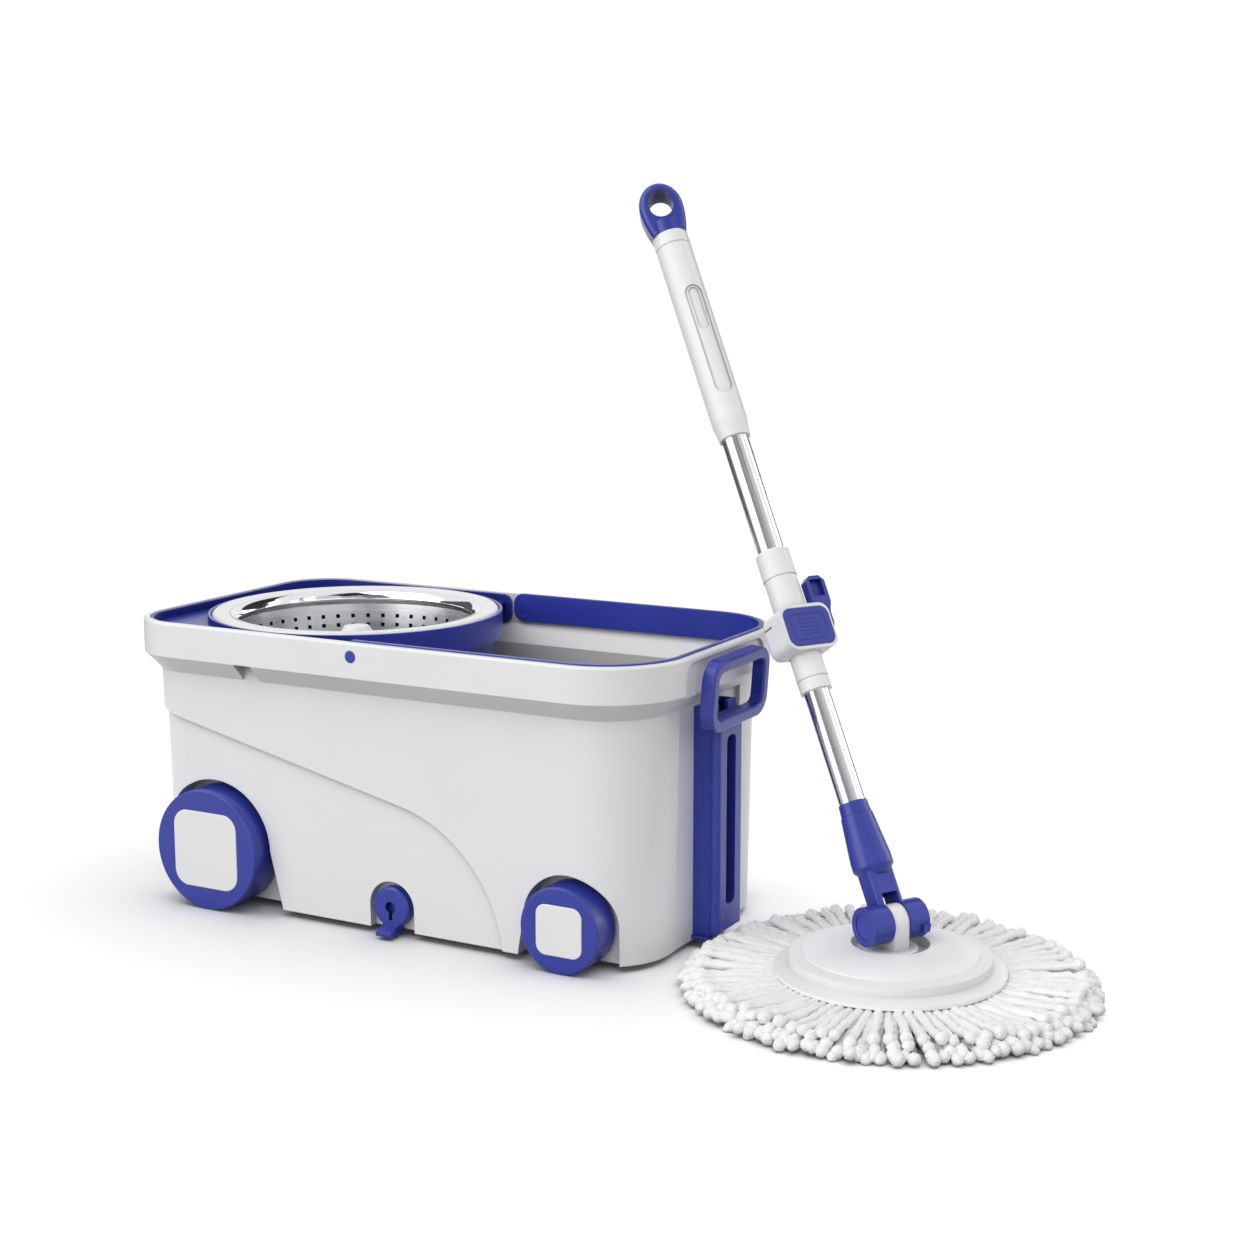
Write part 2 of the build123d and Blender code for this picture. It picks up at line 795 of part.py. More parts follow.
def make_mop_plate():
    pit_rim = pit_floor + pit_depth
    under = pit_floor - plate_wall
    top = dome(dome_radius - dome_step, pit_radius, pit_floor + dome_step, pit_rim)
    hollow = dome(dome_radius - dome_step, pit_radius + plate_wall, under + dome_step, pit_rim - plate_wall)
    steps = Polyline(
        top @ 0,
        (dome_radius, pit_floor),
        (step_radius - brim_edge / 4, pit_floor - step_drop),
        (step_radius, brim_z + brim_rise),
        (brim_radius, brim_z),
        (brim_radius, brim_z - brim_edge),
        (step_radius - plate_wall, brim_z + brim_rise - plate_wall),
        (step_radius - plate_wall, pit_floor - step_drop - plate_wall),
        hollow @ 0,
    )
    pit = Polyline(
        hollow @ 1,
        (pit_radius + plate_wall, under),
        (0, under),
        (0, pit_floor),
        (pit_radius, pit_floor),
        top @ 1,
    )
    plate = revolve(Plane.XZ * make_face([top, steps, hollow, pit]), Axis.Z)
    for angle in hub_screw_angles:
        plate -= Rot(0, 0, angle) * Pos(hub_screw_circle, 0, 0) * rod(screw_radius, 0, far)
    return Pos(mop_x, mop_y, 0) * plate


def make_plate_hub():
    hub = lathe([
        (0, pit_floor),
        (hub_radius, pit_floor),
        (hub_radius, pit_floor + hub_height - hub_edge),
        (hub_radius - hub_edge, pit_floor + hub_height),
        (0, pit_floor + hub_height),
    ])
    half = knuckle_width / 2
    knuckle = side_rod(knuckle_radius, 0, pivot_z, -half, half)
    knuckle += block((-half, half), (-knuckle_radius, knuckle_radius), (pit_floor, pivot_z))
    hub += knuckle - side_rod(hinge_pin_radius + running, 0, pivot_z, -far, far)
    hub = head_frame * hub
    for angle in hub_screw_angles:
        place = Pos(mop_x, mop_y, 0) * Rot(0, 0, angle) * Pos(hub_screw_circle, 0, 0)
        hub -= place * rod(screw_radius, 0, pit_floor + hub_height - hub_edge)
    return hub


def make_hub_screws():
    screws = Part()
    under = pit_floor - plate_wall
    for angle in hub_screw_angles:
        screw = rod(screw_radius, under, pit_floor + hub_height - hub_edge)
        screw += rod(screw_head_radius, under - screw_head, under)
        screws += Pos(mop_x, mop_y, 0) * Rot(0, 0, angle) * Pos(hub_screw_circle, 0, 0) * screw
    return screws


def strand(stations):
    # One strand along +X from its side view and its plan view, each a row of widths
    top = [(r, z + t / 2) for r, z, w, t in stations]
    under = [(r, z - t / 2) for r, z, w, t in reversed(stations)]
    left = [(r, w / 2) for r, z, w, t in stations]
    right = [(r, -w / 2) for r, z, w, t in reversed(stations)]
    side = extrude(Plane.XZ * make_face(Polyline(*top, *under, close=True)), brim_radius, both=True)
    return side & extrude(make_face(Polyline(*left, *right, close=True)), brim_radius, both=True)


def make_mop_fringe():
    # Three layers of strands that fan out and come down to the floor, fused to their backing
    swell = brim_radius + strand_swell_at
    layers = len(strand_backs)
    strands = []
    for number, backs in enumerate(strand_backs):
        radii = [strand_root, swell] + [strand_reach - back for back in backs]
        piece = strand(list(zip(radii, strand_heights[number], strand_widths, strand_depths[number])))
        piece = piece.solid()
        for i in range(strand_count):
            angle = 360 * (i + number / layers) / strand_count
            strands.append(Rot(0, 0, angle) * piece)
    backing = lathe([
        (backing_inner, backing_floor),
        (brim_radius - backing_inset, backing_floor),
        (brim_radius - backing_inset, brim_z - brim_edge - sliding),
        (step_radius - plate_wall, brim_z + brim_rise - plate_wall - 2 * sliding),
        (backing_inner, brim_z + brim_rise - plate_wall - 2 * sliding),
    ])
    return Pos(mop_x, mop_y, 0) * backing.fuse(*strands)


def make_fork_socket():
    half = knuckle_width / 2 + sliding
    fork = extrude(RectangleRounded(shank_width, shank_depth, shank_corner), socket_low)
    fork += lathe([
        (0, socket_flare),
        (shank_width / 2 - 1, socket_flare),
        (socket_radius, socket_low),
        (socket_radius, socket_high),
        (upper_tube_radius + socket_shoulder, socket_step),
        (upper_tube_radius + socket_shoulder / 2, socket_step),
        (upper_tube_radius, socket_top),
        (0, socket_top),
    ])
    fork += side_rod(barrel_radius, 0, 0, -barrel_end, barrel_end)
    throat = knuckle_radius + fork_throat
    fork -= side_rod(throat, 0, 0, -half, half)
    fork -= block((-half, half), (-far, far), (-far, 0))
    fork -= block((-half, half), (-throat, throat), (-far, throat / 2))
    fork -= side_rod(hinge_pin_radius, 0, 0, barrel_floor - barrel_end, far)
    fork -= side_rod(barrel_cap_radius, 0, 0, barrel_end - barrel_cap_depth, far)
    fork -= rod(lower_tube_radius, socket_seat, far)
    lug_x = (1 - barrel_end, 1 + lug_width - barrel_end)
    lug = block(lug_x, (barrel_radius - lug_rise, barrel_radius + lug_rise), (-lug_width / 2, lug_width / 2))
    fork += Rot(lug_turn, 0, 0) * lug
    return pole_frame * fork


def make_hinge_pin():
    high = barrel_end - barrel_cap_depth
    return pole_frame * side_rod(hinge_pin_radius, 0, 0, barrel_floor - barrel_end, high)


def make_barrel_cap():
    cap = side_rod(barrel_cap_radius, 0, 0, barrel_end - barrel_cap_depth, barrel_end)
    rim = side_rod(barrel_cap_radius - barrel_cap_rim, 0, 0, barrel_end - barrel_cap_dip, far)
    return pole_frame * (cap - rim)


def make_lower_tube():
    inner = lower_tube_radius - lower_tube_wall
    return pole_frame * tube(lower_tube_radius, inner, socket_seat, lower_tube_top)


def make_drive_nut():
    inner = lower_tube_radius - lower_tube_wall
    nut = rod(inner, lower_tube_top - drive_nut_length, lower_tube_top)
    nut += rod(lower_tube_radius, lower_tube_top, lower_tube_top + drive_nut_flange)
    return pole_frame * (nut - rod(drive_rod_radius + running, 0, far * 2))


def make_guide_sleeve():
    sleeve = tube(guide_radius, lower_tube_radius + running, guide_bottom, block_bottom + guide_seat)
    groove = guide_bottom + guide_groove
    sleeve -= tube(guide_radius + 1, guide_radius - sliding, groove, groove + 2 * sliding)
    return pole_frame * sleeve


def make_lock_block():
    box = block((-block_width / 2, block_width / 2), (-block_back, block_front), (block_bottom, block_top))
    box = fillet(box.edges().filter_by(Axis.Y), block_corner)
    box = fillet(box.edges().group_by(Axis.Y)[0], block_corner)
    box += rod(sleeve_radius, block_top - block_corner, sleeve_top)
    box -= rod(guide_radius + sliding, block_bottom - 1, block_bottom + guide_seat + sliding)
    box -= rod(upper_tube_radius, block_bottom + guide_seat + 1, far)
    box -= rod(upper_tube_inner, block_bottom, far)
    pad_z = (block_bottom + block_top) / 2
    pad = extrude(Plane.XZ * Pos(0, pad_z) * RectangleRounded(pad_width, pad_height, pad_corner), far)
    box -= Pos(0, block_front + pad_proud - pad_thickness, 0) * Rot(0, 0, 180) * pad
    gap = lever_thickness / 2 + sliding
    reach = lever_hub + sliding
    slot = block((-far, lever_x + reach), (lever_y - gap, lever_y + gap), (lever_z, far))
    slot += cross_rod(reach, lever_x, lever_z, lever_y - gap, lever_y + gap)
    slot += block((-far, lever_x), (lever_y - gap, lever_y + gap), (lever_z - reach, far))
    box -= slot
    slit_span = (slit_forward - slit_length / 2, slit_forward + slit_length / 2)
    slit_low = block_bottom + slit_rise
    box -= block((block_width / 2 - slit_depth, far), slit_span, (slit_low, slit_low + slit_width))
    low, high = lever_pin_span()
    return pole_frame * (box - cross_rod(lever_pin_radius, lever_x, lever_z, low, high))


def lever_pin_span():
    reach = lever_thickness / 2 + sliding
    return lever_y - reach - lever_pin_back, lever_y + reach + lever_pin_front


def make_lever_pin():
    low, high = lever_pin_span()
    return pole_frame * cross_rod(lever_pin_radius, lever_x, lever_z, low, high)


def make_lock_lever():
    half = lever_thickness / 2
    inner = lever_x + lever_hub
    outer = inner - lever_width
    hub_left = lever_x - lever_hub
    shape = make_face(Polyline(
        (inner, lever_z),
        (inner, lever_top - lever_corner),
        (inner - lever_corner, lever_top),
        (outer + lever_corner, lever_top),
        (outer, lever_top - lever_corner),
        (outer, lever_z + lever_shoulder),
        (hub_left, lever_z + lever_waist),
        (hub_left, lever_z),
        close=True,
    ))
    lever = Pos(0, lever_y + half, 0) * extrude(Plane.XZ * shape, lever_thickness)
    lever += cross_rod(lever_hub, lever_x, lever_z, lever_y - half, lever_y + half)
    dish_top = lever_top - lever_dish_rim
    dish_x = (outer + lever_dish_rim, inner - lever_dish_rim)
    lever -= block(dish_x, (lever_y, far), (dish_top - lever_dish_height, dish_top))
    return pole_frame * (lever - cross_rod(lever_pin_radius + running, lever_x, lever_z, -far, far))


def make_lock_pad():
    pad_z = (block_bottom + block_top) / 2
    shape = RectangleRounded(pad_width - seat, pad_height - seat, pad_corner)
    pad = extrude(Plane.XZ * Pos(0, pad_z) * shape, pad_thickness)
    pad = fillet(pad.edges().group_by(Axis.Y)[0], pad_edge)
    pad = Pos(0, block_front + pad_proud - pad_thickness, 0) * Rot(0, 0, 180) * pad
    return pole_frame * pad


def make_lock_collar():
    collar = tube(collar_ring_radius, upper_tube_radius, sleeve_top, collar_ring_top)
    return pole_frame * chamfer(collar.edges().group_by(Axis.Z)[-1].sort_by(SortBy.LENGTH)[-1], collar_edge)


def make_upper_tube():
    low = block_bottom + guide_seat + 1
    return pole_frame * tube(upper_tube_radius, upper_tube_inner, low, grip_top)


def grip_recess(length, width, drop, depth):
    # A long round-ended recess in the front of the grip, drop below its top
    shape = SlotOverall(length, width, rotation=90)
    recess = extrude(Plane.XZ * Pos(0, grip_top - drop - length / 2) * shape, far)
    recess -= rod(grip_radius - depth, 0, grip_top)
    return Rot(0, 0, 180 + grip_turn) * recess


def make_grip():
    line = grip_top - grip_line
    grip = lathe([
        (upper_tube_radius, grip_bottom),
        (upper_tube_radius + grip_foot_wall, grip_bottom),
        (grip_radius, grip_bottom + grip_taper),
        (grip_radius, line - sliding),
        (grip_radius - grip_line_depth, line),
        (grip_radius, line + sliding),
        (grip_radius, grip_top),
        (upper_tube_radius, grip_top),
    ])
    grip -= grip_recess(grip_inset_length, grip_inset_width, grip_inset_drop, grip_inset_depth)
    tongue_drop = grip_inset_drop + grip_tongue_drop
    tongue_depth = grip_inset_depth + grip_tongue_depth
    grip -= grip_recess(grip_tongue_length, grip_tongue_width, tongue_drop, tongue_depth)
    return pole_frame * grip


def make_hang_cap():
    # A drop-shaped head on the end of the grip, with a hole to hang it by
    half = cap_width / 2
    neck = cap_neck_radius
    wide = cap_height * cap_wide_share
    crown = EllipticalCenterArc((0, wide), half, cap_height - wide, start_angle=0, arc_size=180)
    right = TangentArc((half, wide), (neck, 0), tangent=(0, -1))
    left = TangentArc((-half, wide), (-neck, 0), tangent=(0, -1))
    face = make_face([crown, left, Line((-neck, 0), (neck, 0)), right])
    head = extrude(Plane.XZ * face, cap_thickness / 2, both=True)
    head = fillet(head.edges().filter_by(GeomType.LINE, reverse=True), cap_edge)
    head += rod(neck, 0, cap_neck)
    hole = SlotOverall(cap_hole_height, cap_hole_width, rotation=90)
    head -= extrude(Plane.XZ * Pos(0, cap_hole_rise) * hole, cap_thickness, both=True)
    cap = Pos(0, 0, grip_top) * Rot(0, 0, cap_turn) * head
    cap += rod(upper_tube_inner, grip_top - spigot_length, grip_top + 1)
    return pole_frame * (cap - rod(drive_rod_radius, 0, grip_top - drive_rod_seat))


def make_drive_rod():
    return pole_frame * rod(drive_rod_radius, drive_rod_bottom, grip_top - drive_rod_seat)


pieces = {
    "bucket_shell": make_bucket_shell(),
    "basket_carrier": make_basket_carrier(),
    "guide_rail": make_guide_rail(),
    "rail_screws": make_rail_screws(),
    "basket_post": make_basket_post(),
    "basket_spindle": make_basket_spindle(),
    "thrust_washer": make_thrust_washer(),
    "large_axles": make_axles(large_wheel),
    "small_axles": make_axles(small_wheel),
    "basket_drum": make_basket_drum(),
    "drum_pan": make_drum_pan(),
    "basket_ring": make_basket_ring(),
    "basket_base": make_basket_base(),
    "basket_bush": make_basket_bush(),
    "carry_handle": make_carry_handle(),
    "handle_pins": make_handle_pins(),
    "pull_handle": make_pull_handle(),
    "drain_plug": make_drain_plug(),
    "plug_seal": make_plug_seal(),
    "mop_plate": make_mop_plate(),
    "plate_hub": make_plate_hub(),
    "hub_screws": make_hub_screws(),
    "mop_fringe": make_mop_fringe(),
    "fork_socket": make_fork_socket(),
    "hinge_pin": make_hinge_pin(),
    "barrel_cap": make_barrel_cap(),
    "lower_tube": make_lower_tube(),
    "drive_nut": make_drive_nut(),
    "guide_sleeve": make_guide_sleeve(),
    "lock_block": make_lock_block(),
    "lever_pin": make_lever_pin(),
    "lock_lever": make_lock_lever(),
    "lock_pad": make_lock_pad(),
    "lock_collar": make_lock_collar(),
    "upper_tube": make_upper_tube(),
    "grip": make_grip(),
    "hang_cap": make_hang_cap(),
    "drive_rod": make_drive_rod(),
}
for name, wheel in (("large", large_wheel), ("small", small_wheel)):
    pieces[name + "_wheel_front"] = make_wheel(wheel)
    pieces[name + "_cap_front"] = make_wheel_cap(wheel)
    pieces[name + "_wheel_rear"] = to_rear(make_wheel(wheel))
    pieces[name + "_cap_rear"] = to_rear(make_wheel_cap(wheel))

os.makedirs("parts", exist_ok=True)
for name, piece in pieces.items():
    export_step(piece, f"parts/{name}.step")
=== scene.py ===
import json
import math
import random

import bmesh
import bpy
from mathutils import Matrix, Vector


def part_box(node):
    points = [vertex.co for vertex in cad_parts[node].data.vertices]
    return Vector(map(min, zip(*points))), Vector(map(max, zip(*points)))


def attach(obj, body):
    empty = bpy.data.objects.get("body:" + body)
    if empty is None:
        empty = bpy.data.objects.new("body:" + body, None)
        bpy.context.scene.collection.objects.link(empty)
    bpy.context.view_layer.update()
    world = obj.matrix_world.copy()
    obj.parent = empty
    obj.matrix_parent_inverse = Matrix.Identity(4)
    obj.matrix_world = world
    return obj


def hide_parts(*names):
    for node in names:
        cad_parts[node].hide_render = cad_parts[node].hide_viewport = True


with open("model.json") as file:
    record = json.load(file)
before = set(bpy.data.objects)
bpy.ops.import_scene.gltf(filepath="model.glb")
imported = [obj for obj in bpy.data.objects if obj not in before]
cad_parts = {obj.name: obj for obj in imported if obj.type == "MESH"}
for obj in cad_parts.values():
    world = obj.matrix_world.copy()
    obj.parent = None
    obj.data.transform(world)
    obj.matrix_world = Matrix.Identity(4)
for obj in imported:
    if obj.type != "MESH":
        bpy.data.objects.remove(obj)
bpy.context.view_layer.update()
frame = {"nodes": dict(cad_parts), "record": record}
nodes = frame["nodes"]
mm = 0.001
print("frame loaded with", len(nodes), "solids")


# camera where the photograph was taken from
camera = {"place": (0.9047, -1.3888, 0.5183), "lookDown": 10.21, "turnLeft": 28.48, "lens": 61.2,
          "sensor": 36, "clipEnd": 200}

bpy.ops.object.camera_add(
    location=camera["place"],
    rotation=(math.radians(90 - camera["lookDown"]), 0, math.radians(camera["turnLeft"])),
)
bpy.context.scene.camera = bpy.context.object
bpy.context.object.data.lens = camera["lens"]
bpy.context.object.data.sensor_width = camera["sensor"]
bpy.context.object.data.clip_end = camera["clipEnd"]
bpy.context.scene.view_settings.view_transform = "Standard"
print("camera set")


def colour(code):
    # sRGB hex to the linear values that a shader takes
    parts = [int(code[i:i + 2], 16) / 255 for i in (0, 2, 4)]
    linear = [c / 12.92 if c <= 0.04045 else ((c + 0.055) / 1.055) ** 2.4 for c in parts]
    return (*linear, 1)


def addNode(tree, kind, settings=None, links=None):
    node = tree.nodes.new(kind)
    for key, value in (settings or {}).items():
        if isinstance(key, int) or key in node.inputs:
            node.inputs[key].default_value = value
        else:
            setattr(node, key, value)
    for socket, source in (links or {}).items():
        tree.links.new(source, node.inputs[socket])
    return node


def newMaterial(name):
    material = bpy.data.materials.new(name)
    material.use_nodes = True
    tree = material.node_tree
    tree.nodes.clear()
    out = addNode(tree, "ShaderNodeOutputMaterial")
    place = addNode(tree, "ShaderNodeTexCoord")
    return material, tree, out, place.outputs["Object"]


def perMm(size):
    # how many repeats of a pattern of this size in millimetres go into a metre
    return 1 / (size * mm)


# the last three settings paint shade into hollows: occlusion samples, and the occlusion range over which the
# reflection is dimmed
plastic = {"ior": 1.49, "gloss": 0.5, "roughnessSpread": 0.05, "grainDeepMm": 0.05, "edgeSamples": 4,
           "hollowSamples": 6, "shut": 0.35, "open": 0.85}


def mouldedPlastic(name, settings):
    # polypropylene out of a steel mould: satin skin, faint flow clouds, spark-eroded grain, with painted shade that
    # darkens its colour and dims its reflection in its hollows
    material, tree, out, place = newMaterial(name)
    cloud = addNode(tree, "ShaderNodeTexNoise", {"Scale": perMm(settings["cloudMm"]), "Detail": 3}, {"Vector": place})
    grain = addNode(tree, "ShaderNodeTexNoise", {"Scale": perMm(settings["grainMm"]), "Detail": 2}, {"Vector": place})
    tint = addNode(tree, "ShaderNodeMix",
                   {"data_type": "RGBA", 6: colour(settings["shade"]), 7: colour(settings["base"])},
                   {0: cloud.outputs["Fac"]})
    # painted shade: the part's own ambient occlusion multiplies its colour darker in its hollows and recesses
    deep = addNode(tree, "ShaderNodeAmbientOcclusion",
                   {"samples": plastic["hollowSamples"], "only_local": True, "Distance": settings["hollowMm"] * mm})
    hollow = addNode(tree, "ShaderNodeMix", {"data_type": "RGBA", "blend_type": "MULTIPLY", 0: settings["hollow"]},
                     {6: tint.outputs[2], 7: deep.outputs["Color"]})
    # painted shade: the reflection is turned down where the occlusion puts the surface in a hollow
    gloss = addNode(tree, "ShaderNodeMapRange",
                    {1: plastic["shut"], 2: plastic["open"], 3: settings["hollowGloss"], 4: plastic["gloss"]},
                    {0: deep.outputs["AO"]})
    dull, spread = settings["roughness"], plastic["roughnessSpread"]
    sheen = addNode(tree, "ShaderNodeMapRange", {3: dull - spread, 4: dull + spread}, {0: cloud.outputs["Fac"]})
    edge = addNode(tree, "ShaderNodeBevel", {"samples": plastic["edgeSamples"], "Radius": settings["edgeMm"] * mm})
    bump = addNode(tree, "ShaderNodeBump",
                   {"Strength": settings["grainDepth"], "Distance": plastic["grainDeepMm"] * mm},
                   {"Height": grain.outputs["Fac"], "Normal": edge.outputs["Normal"]})
    skin = addNode(tree, "ShaderNodeBsdfPrincipled", {"IOR": plastic["ior"]},
                   {"Base Color": hollow.outputs[2], "Roughness": sheen.outputs[0], "Normal": bump.outputs["Normal"],
                    "Specular IOR Level": gloss.outputs[0]})
    tree.links.new(skin.outputs["BSDF"], out.inputs["Surface"])
    return material


metal = {"roughnessLow": 0.6, "roughnessHigh": 1.4, "lineDeepMm": 0.02}


def brightMetal(name, settings):
    # drawn or pressed stainless steel: mirror bright, with fine lines along the way it was worked
    material, tree, out, place = newMaterial(name)
    turn = Vector(settings["along"]).to_track_quat("Z", "Y").to_euler()
    turned = addNode(tree, "ShaderNodeMapping",
                     {"vector_type": "TEXTURE", "Scale": settings["stretch"], "Rotation": turn}, {"Vector": place})
    lines = addNode(tree, "ShaderNodeTexNoise", {"Scale": perMm(settings["lineMm"]), "Detail": 4},
                    {"Vector": turned.outputs[0]})
    dull = settings["roughness"]
    sheen = addNode(tree, "ShaderNodeMapRange", {3: dull * metal["roughnessLow"], 4: dull * metal["roughnessHigh"]},
                    {0: lines.outputs["Fac"]})
    bump = addNode(tree, "ShaderNodeBump", {"Strength": settings["lineDepth"], "Distance": metal["lineDeepMm"] * mm},
                   {"Height": lines.outputs["Fac"]})
    skin = addNode(tree, "ShaderNodeBsdfPrincipled", {"Base Color": colour(settings["base"]), "Metallic": 1.0},
                   {"Roughness": sheen.outputs[0], "Normal": bump.outputs["Normal"]})
    tree.links.new(skin.outputs["BSDF"], out.inputs["Surface"])
    return material


def microfibre(settings):
    # looped microfibre yarn: dull, downy, with a pile a good half millimetre deep
    material, tree, out, place = newMaterial("microfibreYarn")
    pile = addNode(tree, "ShaderNodeTexNoise",
                   {"Scale": perMm(settings["pileMm"]), "Detail": 3, "Roughness": settings["pileRough"]},
                   {"Vector": place})
    loops = addNode(tree, "ShaderNodeTexVoronoi", {"Scale": perMm(settings["loopMm"])}, {"Vector": place})
    tint = addNode(tree, "ShaderNodeMix",
                   {"data_type": "RGBA", 6: colour(settings["shade"]), 7: colour(settings["base"])},
                   {0: pile.outputs["Fac"]})
    height = addNode(tree, "ShaderNodeMath", {"operation": "SUBTRACT"},
                     {0: pile.outputs["Fac"], 1: loops.outputs["Distance"]})
    bump = addNode(tree, "ShaderNodeBump", {"Strength": settings["depth"], "Distance": settings["deepMm"] * mm},
                   {"Height": height.outputs[0]})
    skin = addNode(tree, "ShaderNodeBsdfPrincipled",
                   {"Roughness": settings["roughness"], "IOR": settings["ior"],
                    "Sheen Weight": settings["sheen"], "Sheen Roughness": settings["sheenRough"]},
                   {"Base Color": tint.outputs[2], "Normal": bump.outputs["Normal"]})
    tree.links.new(skin.outputs["BSDF"], out.inputs["Surface"])
    return material


def copyOf(model):
    # a copy with a mesh of its own, selected and active
    copy = model.copy()
    copy.data = model.data.copy()
    bpy.context.collection.objects.link(copy)
    copy.select_set(True)
    bpy.context.view_layer.objects.active = copy
    return copy


def softenEdges(piece, width, steps):
    bevel = piece.modifiers.new("edge", "BEVEL")
    bevel.width = width * mm
    bevel.segments = steps
    bpy.ops.object.modifier_apply(modifier=bevel.name)


joints = {joint["name"]: joint for joint in frame["record"]["behaviour"]["joints"]}
poleAlong = Vector(joints["pole_telescope"]["axis"])
poleSide = -Vector(joints["pole_tilt"]["axis"])
poleFront = poleAlong.cross(poleSide)
upright = (0, 0, 1)

# each plastic's hollow settings paint shade into its hollows: how strongly, over what distance, and how low the
# reflection drops there
finishes = {
    "white": mouldedPlastic("whitePolypropylene", {"base": "EAEAEB", "shade": "E5E5E6", "roughness": 0.34,
                            "cloudMm": 70, "grainMm": 0.9, "grainDepth": 0.10, "edgeMm": 0.9,
                            "hollow": 0.72, "hollowMm": 300, "hollowGloss": 0.5}),
    "blue": mouldedPlastic("bluePolypropylene", {"base": "2E3A9E", "shade": "2A3594", "roughness": 0.29,
                           "cloudMm": 45, "grainMm": 0.9, "grainDepth": 0.12, "edgeMm": 0.9,
                           "hollow": 0.65, "hollowMm": 60, "hollowGloss": 0.05}),
    "grey": mouldedPlastic("greyRingPlastic", {"base": "E8E8E8", "shade": "DEDEDE", "roughness": 0.30,
                           "cloudMm": 50, "grainMm": 0.8, "grainDepth": 0.08, "edgeMm": 0.9,
                           "hollow": 0.2, "hollowMm": 30, "hollowGloss": 0.5}),
    "nylon": mouldedPlastic("bearingNylon", {"base": "D6D2C6", "shade": "CCC8BA", "roughness": 0.45,
                            "cloudMm": 20, "grainMm": 0.7, "grainDepth": 0.15, "edgeMm": 0.4,
                            "hollow": 0.2, "hollowMm": 20, "hollowGloss": 0.5}),
    "rubber": mouldedPlastic("sealRubber", {"base": "1E1E20", "shade": "161618", "roughness": 0.75,
                             "cloudMm": 12, "grainMm": 0.6, "grainDepth": 0.3, "edgeMm": 0.4,
                             "hollow": 0.2, "hollowMm": 10, "hollowGloss": 0.5}),
    "chrome": brightMetal("drawnSteelTube", {"base": "DCDDDF", "roughness": 0.19, "lineMm": 1.2, "lineDepth": 0.10,
                          "along": poleAlong, "stretch": (1, 1, 30)}),
    "steel": brightMetal("turnedSteel", {"base": "A9ABAE", "roughness": 0.3, "lineMm": 0.8, "lineDepth": 0.2,
                         "along": upright, "stretch": (1, 12, 1)}),
    "microfibre": microfibre({"base": "F5F5F3", "shade": "EAEAE8", "pileMm": 1.4, "loopMm": 2.2,
                              "pileRough": 0.6, "depth": 0.8, "deepMm": 0.6, "roughness": 0.92, "ior": 1.45,
                              "sheen": 0.7, "sheenRough": 0.6}),
}

drumSteel = brightMetal("pressedSteelSheet", {"base": "B2B3B6", "roughness": 0.26, "lineMm": 1.6, "lineDepth": 0.18,
                        "along": upright, "stretch": (40, 40, 1)})
beadSteel = brightMetal("polishedSteelBead", {"base": "E4E5E7", "roughness": 0.09, "lineMm": 1.0, "lineDepth": 0.04,
                        "along": upright, "stretch": (40, 40, 1)})

for part in frame["record"]["subparts"]:
    solid = nodes[part["node"]]
    solid.data.materials.clear()
    solid.data.materials.append(finishes[part["material_slot"]])
for name in ("basket_drum", "drum_pan"):
    nodes[name].data.materials[0] = drumSteel
print("finishes on the solids")


# rolled lip on the drum's edge, a leaning oval spun round the basket's axis
bead = {"inset": 13.4, "drop": 0.2, "long": 5.2, "short": 2.2, "lean": 38, "sides": 20, "turns": 144, "weld": 0.01}

drumLow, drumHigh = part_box("basket_drum")
basketAxis = (drumLow + drumHigh) / 2
drumRadius = (drumHigh.x - drumLow.x) / 2
beadAt = Vector((basketAxis.x + drumRadius - bead["inset"] * mm, basketAxis.y, drumHigh.z - bead["drop"] * mm))
bpy.ops.object.select_all(action="DESELECT")
bpy.ops.mesh.primitive_circle_add(vertices=bead["sides"], radius=mm)
drumBead = bpy.context.object
drumBead.name = "drumBead"
drumBead.scale = (bead["short"], bead["long"], 1)
drumBead.rotation_euler = (math.radians(90), math.radians(bead["lean"]), 0)
drumBead.location = beadAt
bpy.ops.object.transform_apply(location=True, rotation=True, scale=True)
bpy.ops.object.mode_set(mode="EDIT")
bpy.ops.mesh.select_all(action="SELECT")
bpy.ops.mesh.spin(steps=bead["turns"], angle=math.tau, center=(basketAxis.x, basketAxis.y, 0), axis=upright)
bpy.ops.mesh.select_all(action="SELECT")
bpy.ops.mesh.remove_doubles(threshold=bead["weld"] * mm)
bpy.ops.mesh.normals_make_consistent(inside=False)
bpy.ops.object.mode_set(mode="OBJECT")
bpy.ops.object.shade_smooth()
drumBead.data.materials.append(beadSteel)
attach(drumBead, "basket")
print("bead rolled on the drum")


# thumb pad: a raised border and five plain ribs, low on the pad's face
thumbPad = {"thick": 2.2, "wide": 31.0, "tall": 21.0, "corner": 5.0, "line": 1.1, "proud": 0.4,
            "rib": (17.0, 1.3), "ribs": 5, "ribPitch": 2.9, "edge": 0.15, "edgeSteps": 2, "cornerSteps": 6}

padLow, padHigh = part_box("lock_pad")
padFace = (padLow + padHigh) / 2 + poleFront * thumbPad["thick"] / 2 * mm
onPad = Matrix((-poleSide, poleAlong, poleFront)).transposed().to_4x4()
onPad.translation = padFace

